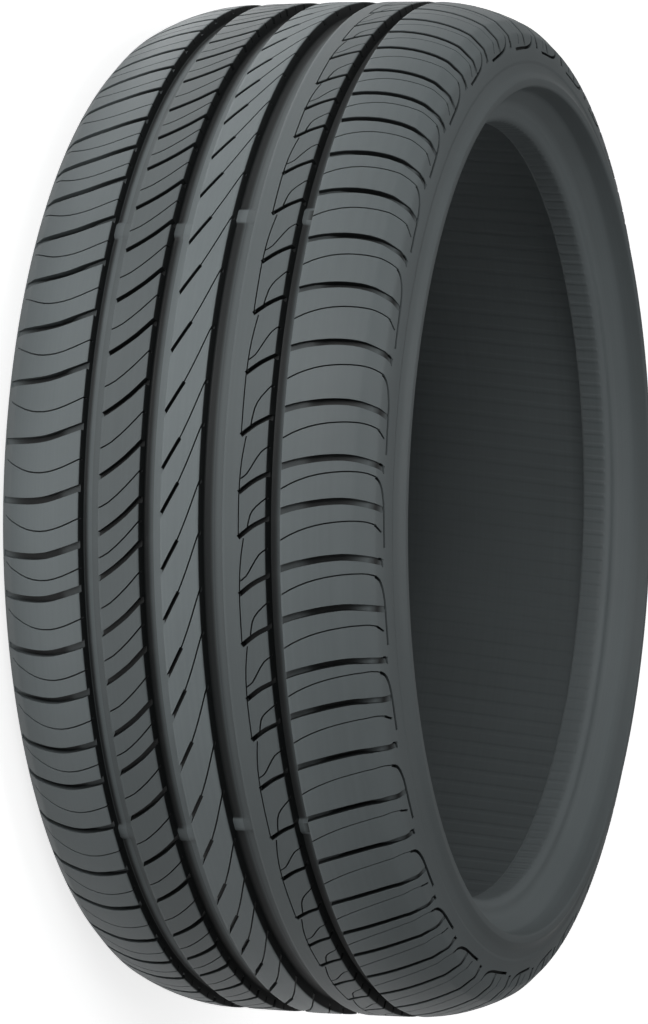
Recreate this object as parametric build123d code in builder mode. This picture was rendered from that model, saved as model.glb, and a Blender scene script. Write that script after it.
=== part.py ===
"""Low-profile car tyre, 225/35 R19, with an asymmetric five-rib tread.

The tyre lies on its inboard sidewall. Its axle is the Z axis, the outboard sidewall faces +Z, and the
origin is at the centre of the wheel. All lengths are in millimetres and all angles in degrees.
"""

import os
from itertools import accumulate
from math import cos, radians, sin

from build123d import *

# Overall size
TREAD_RADIUS = 320.0
RIM_WIDTH = 203.2
RIM_SEAT_RADIUS = 243.7
PROTECTOR_HALF_WIDTH = 124.0

# Tread section: a flat crown that rolls off into round shoulders and a sloping buttress
CROWN_HALF_WIDTH = 58.7
SHOULDER_RADIUS = 100.0
SHOULDER_ANGLE = 25.0
BUTTRESS_ANGLE = 42.0
BUTTRESS_LENGTH = 18.7

# Heights above the bead seat, each a share of the height from the seat to the tread
FLANGE_CONTACT_SHARE = 0.15
BEAD_BACK_SHARE = 0.16
LIP_SHARE = 0.26
PROTECTOR_SHARE = 0.33
LINER_WAIST_SHARE = 0.465

# Bead and walls
BEAD_WIDTH = 20.0
BEAD_THICKNESS = 13.5
LIP_DEPTH = 12.0
SIDEWALL_THICKNESS = 12.5
TREAD_THICKNESS = 13.0
LINER_SHOULDER_HALF_WIDTH = 88.0

# Circumferential grooves between the ribs, three wide and one narrow and V-shaped: inboard edge and width
WIDE_GROOVES = ((-59.0, 12.4), (-21.5, 13.4), (15.1, 14.6))
NARROW_GROOVE = (55.2, 8.0)
GROOVE_DEPTH = 7.8

# Pitches round the tread, short to extra long, mixed so that the tread makes no single note
PITCH_LENGTHS = {"S": 25.7, "M": 29.8, "L": 33.0, "X": 36.3}
PITCH_SEQUENCE = "SSMSSMMLLXXLSLMLSLXLXMSMMLXLSMMSSLXLMSXXMSSLMLXLSMSMXMLMSSMLXSMLSM"
FIRST_PITCH_ANGLE = -67.7

# Slots across the inboard rib, from groove to groove: z and angle from the pitch line at the two ends
RIB_SLOT_INBOARD_END = (-47.6, 6.0)
RIB_SLOT_OUTBOARD_END = (-20.5, 2.1)
RIB_SLOT_WIDTH = 3.0
RIB_SLOT_DEPTH = 6.5

# Height of the cutting outlines above the tread
CUT_CLEARANCE = 5.0


def height(share):
    """Radius at a share of the height from the bead seat to the tread."""
    return RIM_SEAT_RADIUS + share * (TREAD_RADIUS - RIM_SEAT_RADIUS)


def shoulder_point(angle):
    """Radius and z where the shoulder has turned by the angle."""
    drop = SHOULDER_RADIUS * (1 - cos(radians(angle)))
    reach = SHOULDER_RADIUS * sin(radians(angle))
    return TREAD_RADIUS - drop, CROWN_HALF_WIDTH + reach


def half_outline():
    """Outline of the outboard half of the section as (radius, z), from the crown round to the liner."""
    heel_z = RIM_WIDTH / 2
    edge_radius, edge_z = shoulder_point(SHOULDER_ANGLE)
    buttress_radius = edge_radius - BUTTRESS_LENGTH * sin(radians(BUTTRESS_ANGLE))
    buttress_z = edge_z + BUTTRESS_LENGTH * cos(radians(BUTTRESS_ANGLE))
    waist_radius = height(LINER_WAIST_SHARE)
    protector_radius = height(PROTECTOR_SHARE)
    up_the_wall = (waist_radius - protector_radius) / (buttress_radius - protector_radius)
    wall_z = PROTECTOR_HALF_WIDTH + up_the_wall * (buttress_z - PROTECTOR_HALF_WIDTH)
    liner_radius = TREAD_RADIUS - TREAD_THICKNESS
    return [
        (TREAD_RADIUS, 0.0),
        (TREAD_RADIUS, CROWN_HALF_WIDTH),
        shoulder_point(SHOULDER_ANGLE / 2),
        (edge_radius, edge_z),
        (buttress_radius, buttress_z),
        (protector_radius, PROTECTOR_HALF_WIDTH),
        (height(LIP_SHARE), PROTECTOR_HALF_WIDTH - LIP_DEPTH),
        (height(FLANGE_CONTACT_SHARE), heel_z),
        (RIM_SEAT_RADIUS, heel_z),
        (RIM_SEAT_RADIUS, heel_z - BEAD_WIDTH),
        (height(BEAD_BACK_SHARE), heel_z - BEAD_THICKNESS),
        (waist_radius, wall_z - SIDEWALL_THICKNESS),
        (liner_radius, LINER_SHOULDER_HALF_WIDTH),
        (liner_radius, 0.0),
    ]


def pitch_angles():
    """Angle of each pitch line round the tread."""
    lengths = [PITCH_LENGTHS[size] for size in PITCH_SEQUENCE]
    starts = accumulate(lengths[:-1], initial=0.0)
    return [FIRST_PITCH_ANGLE + 360.0 * start / sum(lengths) for start in starts]


def v_outline(depth, width, middle=0.0):
    """V-shaped cutting outline of this depth and width at the tread, with its point inward."""
    reach = width / 2 * (depth + CUT_CLEARANCE) / depth
    return [
        (TREAD_RADIUS - depth, middle),
        (TREAD_RADIUS + CUT_CLEARANCE, middle + reach),
        (TREAD_RADIUS + CUT_CLEARANCE, middle - reach),
    ]


def rib_slot():
    """V-shaped slot laid at a slant across the inboard rib, at angle zero."""
    inboard_z, inboard_angle = RIB_SLOT_INBOARD_END
    outboard_z, outboard_angle = RIB_SLOT_OUTBOARD_END
    across = TREAD_RADIUS * radians(outboard_angle - inboard_angle)
    along = Vector(0, across, outboard_z - inboard_z)
    middle = (0, 0, (inboard_z + outboard_z) / 2)
    with BuildPart() as cutter:
        with BuildSketch(Plane(origin=middle, x_dir=(1, 0, 0), z_dir=along)):
            with BuildLine():
                Polyline(*v_outline(RIB_SLOT_DEPTH, RIB_SLOT_WIDTH), close=True)
            make_face()
        extrude(amount=along.length / 2, both=True)
    return cutter.part


narrow_z, narrow_width = NARROW_GROOVE
slot = rib_slot()
slot_offset = (RIB_SLOT_INBOARD_END[1] + RIB_SLOT_OUTBOARD_END[1]) / 2
slot_places = [Rot(0, 0, angle + slot_offset) for angle in pitch_angles()]

with BuildPart() as tyre:
    with BuildSketch(Plane.XZ):
        with BuildLine():
            Polyline(*half_outline(), close=True)
        make_face()
        mirror(about=Plane.XZ)
        for groove_z, groove_width in WIDE_GROOVES:
            with Locations((TREAD_RADIUS - GROOVE_DEPTH, groove_z)):
                Rectangle(
                    GROOVE_DEPTH + CUT_CLEARANCE,
                    groove_width,
                    align=(Align.MIN, Align.MIN),
                    mode=Mode.SUBTRACT,
                )
        with BuildLine():
            Polyline(*v_outline(GROOVE_DEPTH, narrow_width, narrow_z + narrow_width / 2), close=True)
        make_face(mode=Mode.SUBTRACT)
    revolve(axis=Axis.Z)
    with Locations(*slot_places):
        add(slot, mode=Mode.SUBTRACT)

tyre.part.label = "tyre"
os.makedirs("parts", exist_ok=True)
export_step(tyre.part, "parts/tyre.step")
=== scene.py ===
"""A low-profile car tyre on a white sweep, laid on its inboard sidewall and seen across its tread."""

from functools import partial, reduce
from itertools import accumulate
from math import acos, ceil, pi, radians, sin, tan, tau
from typing import NamedTuple

import bpy
import numpy as np
from mathutils import Matrix, Vector


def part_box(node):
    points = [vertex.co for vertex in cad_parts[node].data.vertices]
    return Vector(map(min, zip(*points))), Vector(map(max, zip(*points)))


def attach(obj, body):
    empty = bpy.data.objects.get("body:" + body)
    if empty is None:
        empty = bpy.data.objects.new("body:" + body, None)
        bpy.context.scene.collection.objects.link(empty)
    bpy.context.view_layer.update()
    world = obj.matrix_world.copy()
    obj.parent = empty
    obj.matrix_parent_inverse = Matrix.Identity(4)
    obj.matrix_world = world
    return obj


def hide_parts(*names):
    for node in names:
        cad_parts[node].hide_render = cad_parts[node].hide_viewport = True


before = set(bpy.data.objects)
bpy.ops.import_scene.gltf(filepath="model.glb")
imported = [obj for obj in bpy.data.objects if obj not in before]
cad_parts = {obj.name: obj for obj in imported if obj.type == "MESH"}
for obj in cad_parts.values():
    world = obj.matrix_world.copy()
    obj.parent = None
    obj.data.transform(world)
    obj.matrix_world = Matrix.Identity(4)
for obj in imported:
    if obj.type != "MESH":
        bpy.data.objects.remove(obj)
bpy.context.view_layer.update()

MM = 0.001
MERGE_DISTANCE = 0.005 * MM

# Sizes that come from the frame
TYRE_LOW, TYRE_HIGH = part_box("tyre")
TREAD_RADIUS = TYRE_HIGH.x
FLOOR_Z = TYRE_LOW.z

# Outboard half of the section, from the middle of the crown round to the liner, in millimetres:
# z, drop below the tread, and the rounding of the corner
SECTION_CORNERS = (
    (0.0, 0.0, 0.0),
    (83.0, 1.0, 100.7),
    (106.3, 13.5, 10.0),
    (114.7, 21.8, 6.0),
    (119.3, 38.4, 1.0),
    (119.1, 40.2, 1.2),
    (120.9, 45.6, 9.0),
    (124.0, 49.6, 2.0),
    (124.0, 54.6, 1.6),
    (112.0, 56.6, 7.0),
    (101.6, 64.9, 8.0),
    (101.6, 76.3, 6.0),
    (81.6, 76.3, 2.0),
    (88.1, 64.1, 12.0),
    (108.5, 40.8, 15.0),
    (88.0, 13.0, 22.0),
    (0.0, 13.0, 0.0),
)
ROUNDING_TOLERANCE = 0.08
TURN_STEPS = 216


class Groove(NamedTuple):
    """A groove round the tread: the z of its inboard edge, its width, the draft of its walls, the rounding
    of its floor, the angle that its wear bars are shifted by, and how far across its floor the painted shadow
    of its inboard side runs."""

    start: float
    width: float
    draft: float
    rounding: float
    bar_shift: float
    painted_shadow_reach: float


# Three wide grooves and a narrow one
GROOVES = (
    Groove(-59.0, 12.4, 0.9, 1.6, 0.0, 4.5),
    Groove(-21.5, 13.4, 0.9, 1.6, 0.0, 6.0),
    Groove(15.1, 14.6, 0.9, 1.6, -1.8, 9.5),
    Groove(55.5, 8.9, 1.2, 1.2, -1.8, 8.0),
)
GROOVE_DEPTH = 7.8
RIB_EDGE_ROUNDING = 0.7
RIB_EDGE_MARGIN = 1.5

# Wear bars across the floors of the grooves
WEAR_BAR_ANGLES = (-30.8, 38.2, 96.4, 154.6, 212.8, 271.0)
WEAR_BAR_LENGTH = 13.0
WEAR_BAR_SLOPE = 2.0
WEAR_BAR_HEIGHT = 1.6

# Pitches round the tread, in millimetres, in the order in which they follow each other
PITCH_LENGTHS = {"S": 25.7, "M": 29.8, "L": 33.0, "X": 36.3}
PITCH_SEQUENCE = "SSMSSMMLLXXLSLMLSLXLXMSMMLXLSMMSSLXLMSXXMSSLMLXLSMSMXMLMSSMLXSMLSM"
FIRST_PITCH_ANGLE = -67.7


class Cut(NamedTuple):
    """A cut in the tread that is repeated at every pitch, or at every other one.

    Each point of its path is the distance from the middle of the crown along the rubber, the angle from the
    pitch line, the share of the pitch that is added to that angle, and the depth. A share above 1 runs on
    into the next pitch.
    """

    name: str
    width: float
    pitches: str
    path: tuple


SLOTS = (
    Cut("inner_shoulder_slot", 4.0, "both", (
        (-58.0, 6.95, 0, 3.0), (-64.0, 7.35, 0, 3.0), (-70.0, 7.7, 0, 3.4), (-76.0, 8.03, 0, 5.1),
        (-82.0, 8.28, 0, 5.2), (-90.0, 8.43, 0, 5.1), (-100.0, 8.45, 0, 4.2), (-110.0, 8.38, 0, 2.4),
        (-118.0, 8.3, 0, 0.7),
    )),
    Cut("inner_rib_slot", 3.0, "both", (
        (-47.6, 6.0, 0, 5.2), (-40.0, 5.13, 0, 5.2), (-30.0, 3.73, 0, 5.2), (-20.4, 2.0, 0, 5.2),
    )),
    Cut("centre_rib_slot", 2.2, "both", (
        (-9.0, -0.5, 0, 5.2), (-5.0, -1.78, 0, 5.2), (0.0, -3.38, 0, 5.2), (2.6, -4.2, 0, 5.2),
    )),
    Cut("outer_rib_slot", 2.8, "both", (
        (39.4, 1.32, 0, 5.0), (45.0, 0.52, 0, 5.2), (50.0, -0.08, 0, 5.2), (58.2, -0.8, 0, 5.2),
    )),
    Cut("outer_shoulder_slot", 4.0, "both", (
        (61.4, -1.23, 0, 3.0), (70.0, -1.76, 0, 3.0), (77.0, -2.07, 0, 3.2), (84.0, -2.32, 0, 5.0),
        (91.0, -2.5, 0, 5.2), (100.0, -2.61, 0, 4.8), (108.0, -2.51, 0, 3.4), (116.0, -2.25, 0, 1.7),
        (123.0, -1.95, 0, 0.8), (128.0, -1.7, 0, 0.4),
    )),
)

SIPES = (
    Cut("inner_shoulder_sipe", 0.85, "both", (
        (-58.4, 7.0, 0.53, 3.8), (-70.0, 7.91, 0.53, 3.8), (-80.0, 8.41, 0.53, 3.8),
        (-90.0, 8.46, 0.53, 3.8), (-100.0, 8.06, 0.53, 2.0), (-115.0, 6.91, 0.53, 0.4),
    )),
    Cut("inner_rib_sipe", 0.85, "both", (
        (-47.4, 6.0, 0.53, 4.0), (-40.0, 5.29, 0.53, 4.0), (-30.0, 3.69, 0.53, 4.0), (-20.8, 1.9, 0.53, 4.0),
    )),
    Cut("centre_rib_sipe", 0.85, "both", (
        (2.4, -4.2, 0, 3.8), (6.0, -5.68, 0, 3.8), (10.0, -7.53, 0, 3.8), (15.8, -10.5, 0, 3.8),
    )),
    Cut("outer_rib_long_sipe", 0.85, "odd", (
        (57.0, 0.2, 0.37, 3.8), (52.0, 0.2, 0.48, 3.8), (47.5, 0.2, 0.69, 3.8), (44.0, 0.2, 0.86, 3.8),
        (40.2, 0.2, 0.95, 3.8),
    )),
    Cut("outer_rib_short_sipe", 0.85, "even", (
        (57.0, 0.2, 0.33, 3.8), (50.0, 0.2, 0.55, 3.8), (46.6, 0.2, 0.74, 3.8), (44.8, 0.5, 1.0, 3.8),
    )),
    Cut("outer_shoulder_sipe", 0.85, "both", (
        (61.4, -1.05, 0.5, 3.8), (70.0, -1.98, 0.5, 3.8), (80.0, -2.73, 0.5, 3.8),
        (90.0, -3.18, 0.5, 3.8), (100.0, -3.41, 0.5, 3.8), (108.0, -3.45, 0.5, 2.8),
        (115.0, -3.33, 0.5, 2.6), (121.5, -2.97, 0.5, 2.4),
    )),
)

RIB_LINES = (
    Cut("outer_rib_straight_line", 0.75, "even", (
        (39.6, 1.25, 0, 2.5), (39.6, 0.75, 0.5, 2.5), (39.6, 1.25, 1.0, 2.5),
    )),
    Cut("outer_rib_bowed_line", 0.75, "odd", (
        (42.7, 0.8, 0.1, 2.5), (41.2, 0.2, 0.5, 2.5), (40.2, 0.2, 0.8, 2.5), (39.7, 1.2, 1.0, 2.5),
    )),
)

HOOKS = (
    Cut("short_hook", 1.4, "odd", (
        (120.0, -3.01, 0.5, 2.7), (123.0, -2.63, 0.5, 2.9), (126.5, -2.15, 0.5, 2.7),
    )),
    Cut("long_hook", 1.9, "even", (
        (120.0, -3.01, 0.5, 2.7), (124.0, -2.45, 0.5, 3.1), (126.5, -1.65, 0.5, 3.1),
        (128.0, -0.65, 0.5, 3.1), (129.0, 0.85, 0.5, 3.1), (129.5, -3.35, 2.0, 2.5),
    )),
    Cut("slot_hook", 1.4, "even", (
        (123.5, -2.25, 0, 2.5), (126.0, -2.12, 0, 2.7), (127.3, -1.85, 0, 2.7), (127.6, -1.2, 0, 2.7),
    )),
)
CUT_CLEARANCE = 1.2
PATH_STEPS = 2

RUBBER_COLOUR = (0.104, 0.1195, 0.1235)
RUBBER_SPECULAR = 0.25
RUBBER_ROUGHNESS = 0.48
SMOOTH_ANGLE = 32

# Finish of the rubber: mould streaks along the tread, cloudy patches, grain, and bladder ridges on the liner.
# Scales are per metre, ridges are counted round the tyre, and bump heights are in millimetres
STREAK_SCALE_ALONG = 4.0
STREAK_SCALE_ACROSS = 500.0
STREAK_HEIGHT = 0.04
PATCH_SCALE = 14.0
GRAIN_SCALE = 1400.0
GRAIN_HEIGHT = 0.03
RIDGE_COUNT = 180.0
RIDGE_SLANT = 60.0
RIDGE_HEIGHT = 0.3

# Share of the tone taken off as painted shade in the cuts and as painted shade on the sidewall
PAINTED_CUT_SHADE = 0.92
PAINTED_SIDEWALL_SHADE = 0.2

# Painted sheen: tone of each rib, from inboard to outboard, and the z where it starts; lighter ribs stand in
# for more sheen
INBOARD_END = -130.0
PAINTED_RIB_SHEEN = ((1.0, INBOARD_END), (0.78, -53.0), (1.26, -15.0), (0.87, 22.0), (1.1, 59.0))

# Camera: the photograph's viewpoint, in metres, with the top of the picture towards CAMERA_UP
CAMERA_PLACE = Vector((2.85422, 0.0, 0.96311))
CAMERA_AIM = Vector((0.0057, 0.0028, -0.0168))
CAMERA_UP = Vector((0.0047, -0.99985, -0.0165))
CAMERA_LENS = 166.57

# Light panels on the floor round the front of the tread, that face up: angle and power
FLOOR_PANELS = ((-80, 0.4), (-46, 0.22), (0, 0.29), (40, 0.05))
FLOOR_PANEL_RADIUS = 0.48
FLOOR_PANEL_SIZE = (0.3, 0.38)

# Soft lamps turned to the tyre: name, place, width and power
LAMPS = (
    ("overhead", (0.15, -0.3, 2.0), 1.2, 11),
    ("front", (2.4, -1.1, 0.6), 1.0, 27),
    ("side", (0.5, -2.2, 0.1), 1.0, 6),
)
WORLD_STRENGTH = 0.2
FLOOR_COLOUR = (0.9, 0.9, 0.9, 1)
FLOOR_GLOW = (0.75, 0.75, 0.75, 1)
FLOOR_SIZE = 40


def deselect_all():
    bpy.ops.object.select_all(action="DESELECT")


def rounded(corners):
    """Points along an outline whose corners are rounded."""
    points = [Vector(corners[0][:2])]
    for before, corner, after in zip(corners, corners[1:], corners[2:]):
        at, rounding = Vector(corner[:2]), corner[2]
        back = (Vector(before[:2]) - at).normalized()
        onward = (Vector(after[:2]) - at).normalized()
        half_angle = back.angle(onward) / 2
        centre = at + (back + onward).normalized() * rounding / sin(half_angle)
        spoke = at + back * rounding / tan(half_angle) - centre
        turn = pi - 2 * half_angle
        if back.x * onward.y - back.y * onward.x > 0:
            turn = -turn
        steps = max(2, ceil(abs(turn) / (2 * acos(1 - ROUNDING_TOLERANCE / rounding))))
        for step in range(steps + 1):
            points.append(centre + Matrix.Rotation(turn * step / steps, 2) @ spoke)
    points.append(Vector(corners[-1][:2]))
    return points


def mirrored(line):
    """The line of the other half of the section, run the other way."""
    return [Vector((-z, radius)) for z, radius in reversed(line)]


def section():
    """The section as (z, radius) in millimetres, without grooves: its outside, from the one rim protector to
    the other, and its inside, from there back past the beads and the liner."""
    crown = TREAD_RADIUS / MM
    half = rounded([(z, crown - drop, rounding) for z, drop, rounding in SECTION_CORNERS])
    edge = 1 + max(range(len(half)), key=lambda i: half[i].x)
    outside, inside = half[:edge], half[edge:]
    return mirrored(outside[1:]) + outside, inside + mirrored(inside[:-1])


def with_grooves(line):
    """The outside of the section with the grooves let into it."""
    floor = TREAD_RADIUS / MM - GROOVE_DEPTH
    for cut in GROOVES:
        low, high = cut.start, cut.start + cut.width
        start, end = low - RIB_EDGE_MARGIN, high + RIB_EDGE_MARGIN
        edges = np.interp([start, low, high, end], *np.array(line).T)
        groove = rounded([
            (start, edges[0], 0),
            (low, edges[1], RIB_EDGE_ROUNDING),
            (low + cut.draft, floor, cut.rounding),
            (high - cut.draft, floor, cut.rounding),
            (high, edges[2], RIB_EDGE_ROUNDING),
            (end, edges[3], 0),
        ])
        before = [point for point in line if point.x < start]
        after = [point for point in line if point.x > end]
        line = before + groove + after
    return line


class TreadSurface:
    """The outside of the tyre, unrolled: places on it by length, distance from the crown and height."""

    def __init__(self, outside):
        line = np.array(outside) * MM
        steps = np.diff(line, axis=0)
        lengths = np.hypot(*steps.T)
        self.distance = np.concatenate([[0.0], np.cumsum(lengths)])
        self.distance -= self.distance[len(line) // 2]
        self.z, self.radius = line.T
        along = steps / lengths[:, None]
        along = np.vstack([along[:1], along[:-1] + along[1:], along[-1:]])
        along /= np.hypot(*along.T)[:, None]
        self.up_z, self.up_radius = -along[:, 1], along[:, 0]

    def place(self, flat):
        """Points (length round the tread, distance from the crown, height) rolled up round the axle."""
        round_the_tread, distance, height = np.asarray(flat).T
        z = np.interp(distance, self.distance, self.z)
        radius = np.interp(distance, self.distance, self.radius)
        z = z + height * np.interp(distance, self.distance, self.up_z)
        radius = radius + height * np.interp(distance, self.distance, self.up_radius)
        angle = round_the_tread / TREAD_RADIUS
        return np.column_stack([radius * np.cos(angle), radius * np.sin(angle), z])


def drawn_line(name, points):
    """A chain of edges through the points, drawn by extruding its last vertex."""
    deselect_all()
    bpy.ops.mesh.primitive_plane_add(size=MM)
    line = bpy.context.object
    line.name = name
    bpy.ops.object.mode_set(mode="EDIT")
    bpy.ops.mesh.select_all(action="SELECT")
    bpy.ops.mesh.merge(type="CENTER")
    bpy.ops.transform.translate(value=points[0])
    for start, end in zip(points, points[1:]):
        bpy.ops.mesh.extrude_region_move(TRANSFORM_OT_translate={"value": Vector(end) - Vector(start)})
    bpy.ops.object.mode_set(mode="OBJECT")
    return line


def apply_modifier(piece, modifier):
    bpy.context.view_layer.objects.active = piece
    bpy.ops.object.modifier_apply(modifier=modifier.name)


def spun_tyre(outside, inside):
    """The tyre with its grooves: the section drawn once and spun about the axle."""
    loop = with_grooves(outside) + inside
    tyre = drawn_line("tyre_rubber", [(radius * MM, 0, z * MM) for z, radius in loop + loop[:1]])
    bpy.ops.object.mode_set(mode="EDIT")
    bpy.ops.mesh.select_all(action="SELECT")
    bpy.ops.mesh.remove_doubles(threshold=MERGE_DISTANCE)
    bpy.ops.mesh.spin(steps=TURN_STEPS, angle=tau, center=(0, 0, 0), axis=(0, 0, 1))
    bpy.ops.mesh.select_all(action="SELECT")
    bpy.ops.mesh.remove_doubles(threshold=MERGE_DISTANCE)
    bpy.ops.mesh.normals_make_consistent(inside=False)
    bpy.ops.object.mode_set(mode="OBJECT")
    return tyre


def copied(piece, angle):
    """A copy of the piece with its own mesh, turned about the axle."""
    copy = piece.copy()
    copy.data = piece.data.copy()
    copy.data.transform(Matrix.Rotation(angle, 4, "Z"))
    bpy.context.collection.objects.link(copy)
    return copy


def wear_bars():
    """The wear bars of all grooves, as blocks with sloping ends that stand in their floors."""
    copies = []
    for groove in GROOVES:
        deselect_all()
        bpy.ops.mesh.primitive_cube_add(size=1)
        bar = bpy.context.object
        bpy.ops.object.mode_set(mode="EDIT")
        bpy.ops.mesh.select_all(action="SELECT")
        bpy.ops.transform.resize(value=(2 * WEAR_BAR_HEIGHT * MM, WEAR_BAR_LENGTH * MM, groove.width * MM))
        bpy.ops.object.mode_set(mode="OBJECT")
        for vertex in bar.data.vertices:
            vertex.co.y -= WEAR_BAR_SLOPE * vertex.co.x * (1 if vertex.co.y > 0 else -1)
        middle = (TREAD_RADIUS - GROOVE_DEPTH * MM, 0, (groove.start + groove.width / 2) * MM)
        bar.data.transform(Matrix.Translation(middle))
        copies += [copied(bar, radians(angle + groove.bar_shift)) for angle in WEAR_BAR_ANGLES]
        bpy.data.objects.remove(bar)
    return joined(copies)


def joined(pieces):
    """The pieces as one object."""
    deselect_all()
    for piece in pieces:
        piece.select_set(True)
    bpy.context.view_layer.objects.active = pieces[0]
    bpy.ops.object.join()
    return bpy.context.object


def combine(body, other, operation):
    """Adds the other object to the body or takes it away, and removes it."""
    boolean = body.modifiers.new("boolean", "BOOLEAN")
    boolean.operation = operation
    boolean.solver = "MANIFOLD"
    boolean.object = other
    apply_modifier(body, boolean)
    bpy.data.objects.remove(other)


def smoothed(path):
    """More points on a smooth curve through the points of a path."""
    path = np.array(path, float)
    ends = np.vstack([2 * path[0] - path[1], path, 2 * path[-1] - path[-2]])
    curve = []
    for a, b, c, d in zip(ends, ends[1:], ends[2:], ends[3:]):
        for t in np.arange(PATH_STEPS) / PATH_STEPS:
            curve.append(
                b + t * ((c - a) / 2 + t * (a - 2.5 * b + 2 * c - d / 2 + t * (1.5 * (b - c) + (d - a) / 2)))
            )
    return np.array(curve + [path[-1]])


def flat_path(cut, pitch, next_pitch):
    """The cut's path on the flat: length round the tread, distance from the crown, and depth, in metres."""
    points = []
    for distance, angle, share, depth in cut.path:
        along = min(share, 1) * pitch + max(share - 1, 0) * next_pitch
        points.append((TREAD_RADIUS * radians(angle) + along, distance * MM, depth * MM))
    return smoothed(points)


def cutting_tool(cut, flat, surface):
    """A blade of the cut's width that follows the flat path, rolled up at angle zero."""
    top = CUT_CLEARANCE * MM
    blade = drawn_line(cut.name, [(x, y, top) for x, y, _ in flat])
    bpy.ops.object.mode_set(mode="EDIT")
    bpy.ops.mesh.select_all(action="SELECT")
    bpy.ops.mesh.extrude_region_move(TRANSFORM_OT_translate={"value": (0, 0, -2 * top)})
    bpy.ops.object.mode_set(mode="OBJECT")
    for vertex in blade.data.vertices:
        if vertex.co.z < 0:
            nearest = np.argmin(np.hypot(*(flat[:, :2] - vertex.co[:2]).T))
            vertex.co.z = -flat[nearest, 2]
    thickness = blade.modifiers.new("width", "SOLIDIFY")
    thickness.thickness = cut.width * MM
    thickness.offset = 0
    thickness.use_even_offset = True
    apply_modifier(blade, thickness)
    rolled = surface.place([vertex.co for vertex in blade.data.vertices])
    blade.data.vertices.foreach_set("co", rolled.ravel())
    bpy.ops.object.mode_set(mode="EDIT")
    bpy.ops.mesh.select_all(action="SELECT")
    bpy.ops.mesh.normals_make_consistent(inside=False)
    bpy.ops.object.mode_set(mode="OBJECT")
    return blade


def pitches():
    """Each pitch round the tread as its angle, its length and the next one's, in radians and metres."""
    lengths = [PITCH_LENGTHS[size] for size in PITCH_SEQUENCE]
    scale = tau * TREAD_RADIUS / sum(lengths)
    lengths = [length * scale for length in lengths]
    starts = accumulate(lengths[:-1], initial=0.0)
    angles = [radians(FIRST_PITCH_ANGLE) + start / TREAD_RADIUS for start in starts]
    return list(zip(angles, lengths, lengths[1:] + lengths[:1]))


def cut_tread(tyre, cuts, surface):
    """Takes the cuts out of the tread, at the pitches that have them."""
    copies = []
    for cut in cuts:
        tools = {}
        for number, (angle, pitch, next_pitch) in enumerate(pitches()):
            if cut.pitches != "both" and cut.pitches != ("even", "odd")[number % 2]:
                continue
            flat = flat_path(cut, pitch, next_pitch)
            shape = flat.tobytes()
            if shape not in tools:
                tools[shape] = cutting_tool(cut, flat, surface)
            copies.append(copied(tools[shape], angle))
        for tool in tools.values():
            bpy.data.objects.remove(tool)
    combine(tyre, joined(copies), "DIFFERENCE")


def distance_to(line, places):
    """How far each place is from a line through points."""
    nearest = np.full(len(places), np.inf)
    for start, end in zip(line, line[1:]):
        along = end - start
        share = np.clip((places - start) @ along / (along @ along), 0, 1)
        gaps = places - start - share[:, None] * along
        nearest = np.minimum(nearest, np.hypot(*gaps.T))
    return nearest


def mark_depth(tyre, outside, inside):
    """Marks each vertex with its depth below the outside of the tyre, as it would be without cuts."""
    places = np.empty(3 * len(tyre.data.vertices))
    tyre.data.vertices.foreach_get("co", places)
    x, y, z = places.reshape(-1, 3).T
    places = np.column_stack([z, np.hypot(x, y)])
    depth = distance_to(np.array(outside) * MM, places)
    depth[distance_to(np.array(inside) * MM, places) < 0.1 * MM] = 0
    tyre.data.attributes.new("depth", "FLOAT", "POINT").data.foreach_set("value", depth)


class Nodes:
    """Short ways to add nodes to a material."""

    def __init__(self, tree):
        self.tree = tree

    def add(self, kind, *values, **settings):
        """A new node whose inputs, in their order, are set or linked; gives its first output."""
        node = self.tree.nodes.new(kind)
        for name, setting in settings.items():
            setattr(node, name, setting)
        for socket, value in zip(node.inputs, values):
            if isinstance(value, bpy.types.NodeSocket):
                self.tree.links.new(value, socket)
            else:
                socket.default_value = value
        return node.outputs[0]

    def split(self, vector):
        """The x, y and z of a vector."""
        return self.add("ShaderNodeSeparateXYZ", vector).node.outputs

    def math(self, operation, *values):
        return self.add("ShaderNodeMath", *values, operation=operation)

    def total(self, *values):
        return reduce(partial(self.math, "ADD"), values)

    def product(self, *values):
        return reduce(partial(self.math, "MULTIPLY"), values)

    def largest(self, *values):
        return reduce(partial(self.math, "MAXIMUM"), values)

    def without(self, share):
        """What is left of 1 when the share is taken off."""
        return self.math("SUBTRACT", 1.0, share)

    def rise(self, value, low, high):
        """0 up to low and 1 from high on, with a smooth rise between."""
        return self.add("ShaderNodeMapRange", value, low, high, 0.0, 1.0, interpolation_type="SMOOTHSTEP")

    def fall(self, value, low, high):
        """1 up to low and 0 from high on, with a smooth fall between."""
        return self.without(self.rise(value, low, high))

    def steps(self, value, levels):
        """The level of the last step that the value has passed; each step is its level and its start."""
        passed = levels[0][0]
        for (before, _), (level, start) in zip(levels, levels[1:]):
            past = self.math("GREATER_THAN", value, start * MM)
            passed = self.total(self.product(past, level - before), passed)
        return passed

    def noise(self, vector, scale, detail):
        return self.add("ShaderNodeTexNoise", vector, 0.0, scale, detail)


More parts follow.
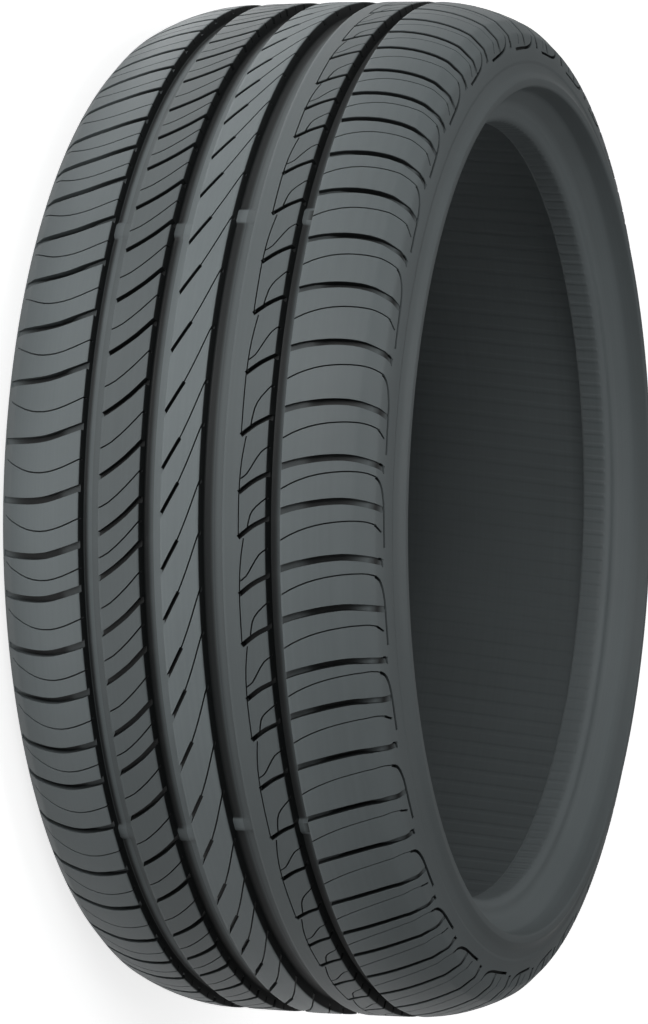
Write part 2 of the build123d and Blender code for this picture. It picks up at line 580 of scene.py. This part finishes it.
def rubber():
    """Moulded satin rubber lined by the bladder inside, with painted shade in the cuts and on the sidewall, a
    painted shadow on each groove floor and a painted sheen on some ribs.
    """
    material = bpy.data.materials.new("moulded_rubber")
    material.use_nodes = True
    tree = material.node_tree
    shader = tree.nodes["Principled BSDF"]
    nodes = Nodes(tree)
    here = tree.nodes.new("ShaderNodeTexCoord").outputs
    x, y, z = nodes.split(here["Object"])
    normal_x, normal_y, normal_z = nodes.split(here["Normal"])
    radius = nodes.math("SQRT", nodes.total(nodes.product(x, x), nodes.product(y, y)))
    off_centre = nodes.math("ABSOLUTE", z)
    outward = nodes.math(
        "DIVIDE", nodes.total(nodes.product(x, normal_x), nodes.product(y, normal_y)), radius
    )

    depth = nodes.add("ShaderNodeAttribute", attribute_name="depth").node.outputs["Fac"]
    # Painted shade: the walls of the cuts are darkened in the colour, less on the inboard shoulder
    painted_wall_shade = nodes.product(nodes.rise(depth, 0.2 * MM, 0.9 * MM), nodes.fall(outward, 0.5, 0.95))
    inboard_shoulder = nodes.fall(z, -90 * MM, -62 * MM)
    painted_wall_shade = nodes.product(painted_wall_shade, nodes.without(nodes.product(inboard_shoulder, 0.6)))
    # Painted shade: the floors of the slots and sipes darken with depth
    painted_slot_shade = nodes.product(nodes.rise(depth, 0.2 * MM, 4.8 * MM), nodes.fall(depth, 5.25 * MM, 5.45 * MM))
    # Painted shadow: the floor next to the inboard side of each groove is darkened, fading across the floor
    edges = [(INBOARD_END * MM, INBOARD_END)] + [(groove.start * MM, groove.start) for groove in GROOVES]
    past_wall = nodes.math("SUBTRACT", z, nodes.steps(z, edges))
    painted_shadow_reaches = [(1.0, INBOARD_END)] + [(groove.painted_shadow_reach * MM, groove.start) for groove in GROOVES]
    share_of_painted_shadow = nodes.math("DIVIDE", past_wall, nodes.steps(z, painted_shadow_reaches))
    painted_wall_shadow = nodes.product(nodes.fall(share_of_painted_shadow, 0.45, 1.0), nodes.rise(depth, 6.2 * MM, 7 * MM), 0.96)
    # All painted shade and shadow of the cuts, as one mask
    shade = nodes.largest(painted_wall_shade, painted_slot_shade, painted_wall_shadow)
    facing_in = nodes.math(
        "SUBTRACT", nodes.product(outward, -1.0), nodes.product(nodes.math("SIGN", z), normal_z)
    )
    inside = nodes.product(
        nodes.rise(facing_in, 0.3, 0.6),
        nodes.fall(off_centre, 108 * MM, 110.5 * MM),
        nodes.fall(radius, 308 * MM, 309 * MM),
    )
    # Painted sheen: some ribs are made lighter and some darker, outside the liner
    painted_rib_sheen = nodes.product(nodes.math("SUBTRACT", nodes.steps(z, PAINTED_RIB_SHEEN), 1.0), nodes.without(inside))
    # Painted shade: the sidewall is darkened in the colour
    sidewall = nodes.rise(off_centre, 112 * MM, 120 * MM)

    lengthwise = nodes.add(
        "ShaderNodeCombineXYZ",
        nodes.product(x, STREAK_SCALE_ALONG),
        nodes.product(y, STREAK_SCALE_ALONG),
        nodes.product(nodes.total(z, radius), STREAK_SCALE_ACROSS),
    )
    streaks = nodes.noise(lengthwise, 1.0, 3.0)
    patches = nodes.noise(here["Object"], PATCH_SCALE, 4.0)
    grain = nodes.noise(here["Object"], GRAIN_SCALE, 2.0)
    turn = nodes.math("ARCTAN2", y, x)
    ridges = nodes.math("SINE", nodes.total(nodes.product(turn, RIDGE_COUNT), nodes.product(z, RIDGE_SLANT)))
    ridges = nodes.product(inside, nodes.math("POWER", nodes.rise(ridges, -1.0, 1.0), 6.0))

    tone = nodes.total(0.82, nodes.product(streaks, 0.16), nodes.product(patches, 0.2))
    tone = nodes.product(
        tone,
        nodes.without(nodes.product(shade, PAINTED_CUT_SHADE)),
        nodes.total(1.0, painted_rib_sheen),
        nodes.without(nodes.product(sidewall, PAINTED_SIDEWALL_SHADE)),
    )
    colour = nodes.add("ShaderNodeVectorMath", RUBBER_COLOUR, operation="SCALE")
    tree.links.new(tone, colour.node.inputs["Scale"])
    tree.links.new(colour, shader.inputs["Base Color"])
    roughness = nodes.total(RUBBER_ROUGHNESS, nodes.product(streaks, 0.12))
    tree.links.new(roughness, shader.inputs["Roughness"])
    shader.inputs["Specular IOR Level"].default_value = RUBBER_SPECULAR
    height = nodes.total(
        nodes.product(streaks, STREAK_HEIGHT * MM),
        nodes.product(grain, GRAIN_HEIGHT * MM),
        nodes.product(ridges, RIDGE_HEIGHT * MM),
    )
    bump = tree.nodes.new("ShaderNodeBump")
    bump.inputs["Distance"].default_value = 1.0
    tree.links.new(height, bump.inputs["Height"])
    tree.links.new(bump.outputs["Normal"], shader.inputs["Normal"])
    return material


def camera():
    """The photograph's camera."""
    data = bpy.data.cameras.new("camera")
    data.lens = CAMERA_LENS
    data.clip_end = 100
    seat = bpy.data.objects.new("camera", data)
    forward = (CAMERA_AIM - CAMERA_PLACE).normalized()
    right = forward.cross(CAMERA_UP).normalized()
    turned = Matrix((right, right.cross(forward), -forward)).transposed().to_4x4()
    seat.matrix_world = Matrix.Translation(CAMERA_PLACE) @ turned
    bpy.context.collection.objects.link(seat)
    bpy.context.scene.camera = seat


def seen_factor(tree):
    """1 for what the camera sees, straight or in a reflection, and 0 for light on the object."""
    path = tree.nodes.new("ShaderNodeLightPath").outputs
    return Nodes(tree).largest(path["Is Camera Ray"], path["Is Glossy Ray"], path["Is Transmission Ray"])


def floor():
    """A white floor that keeps the tyre's shadow."""
    deselect_all()
    bpy.ops.mesh.primitive_plane_add(size=FLOOR_SIZE, location=(0, 0, FLOOR_Z))
    plane = bpy.context.object
    plane.name = "floor"
    material = bpy.data.materials.new("white_floor")
    material.use_nodes = True
    tree = material.node_tree
    tree.nodes.remove(tree.nodes["Principled BSDF"])
    diffuse = tree.nodes.new("ShaderNodeBsdfDiffuse")
    diffuse.inputs["Color"].default_value = FLOOR_COLOUR
    glow = tree.nodes.new("ShaderNodeEmission")
    glow.inputs["Color"].default_value = FLOOR_GLOW
    tree.links.new(seen_factor(tree), glow.inputs["Strength"])
    both = tree.nodes.new("ShaderNodeAddShader")
    tree.links.new(diffuse.outputs[0], both.inputs[0])
    tree.links.new(glow.outputs[0], both.inputs[1])
    tree.links.new(both.outputs[0], tree.nodes["Material Output"].inputs["Surface"])
    plane.data.materials.append(material)


def lamp(name, place, size, power):
    """A soft lamp turned to the tyre."""
    data = bpy.data.lights.new(name, "AREA")
    data.shape = "RECTANGLE"
    data.size, data.size_y = size
    data.energy = power
    light = bpy.data.objects.new(name, data)
    light.location = place
    light.rotation_euler = (-Vector(place)).to_track_quat("-Z", "Y").to_euler()
    light.visible_camera = False
    bpy.context.collection.objects.link(light)
    return light


def studio():
    """Light panels on the floor, soft lamps over, before and beside the tyre, and a dim white sky."""
    for angle, power in FLOOR_PANELS:
        turn = Matrix.Rotation(radians(angle), 4, "Z")
        seat = turn @ Vector((FLOOR_PANEL_RADIUS, 0.0, FLOOR_Z + 5 * MM))
        panel = lamp("panel", seat, FLOOR_PANEL_SIZE, power)
        panel.rotation_euler = (pi, 0, radians(angle))
    for name, seat, width, power in LAMPS:
        lamp(name, seat, (width, width), power)
    world = bpy.data.worlds.new("studio")
    bpy.context.scene.world = world
    world.use_nodes = True
    background = world.node_tree.nodes["Background"]
    background.inputs["Color"].default_value = (1, 1, 1, 1)
    background.inputs["Strength"].default_value = WORLD_STRENGTH
    bpy.context.scene.view_settings.view_transform = "Standard"


outside, inside = section()
tread = TreadSurface(outside)
tyre = spun_tyre(outside, inside)
for cuts in (SLOTS, SIPES, RIB_LINES, HOOKS):
    cut_tread(tyre, cuts, tread)
combine(tyre, wear_bars(), "UNION")
mark_depth(tyre, outside, inside)
deselect_all()
tyre.select_set(True)
bpy.context.view_layer.objects.active = tyre
bpy.ops.object.shade_smooth_by_angle(angle=radians(SMOOTH_ANGLE))
tyre.data.materials.clear()
tyre.data.materials.append(rubber())
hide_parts("tyre")
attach(tyre, "root")

floor()
camera()
studio()
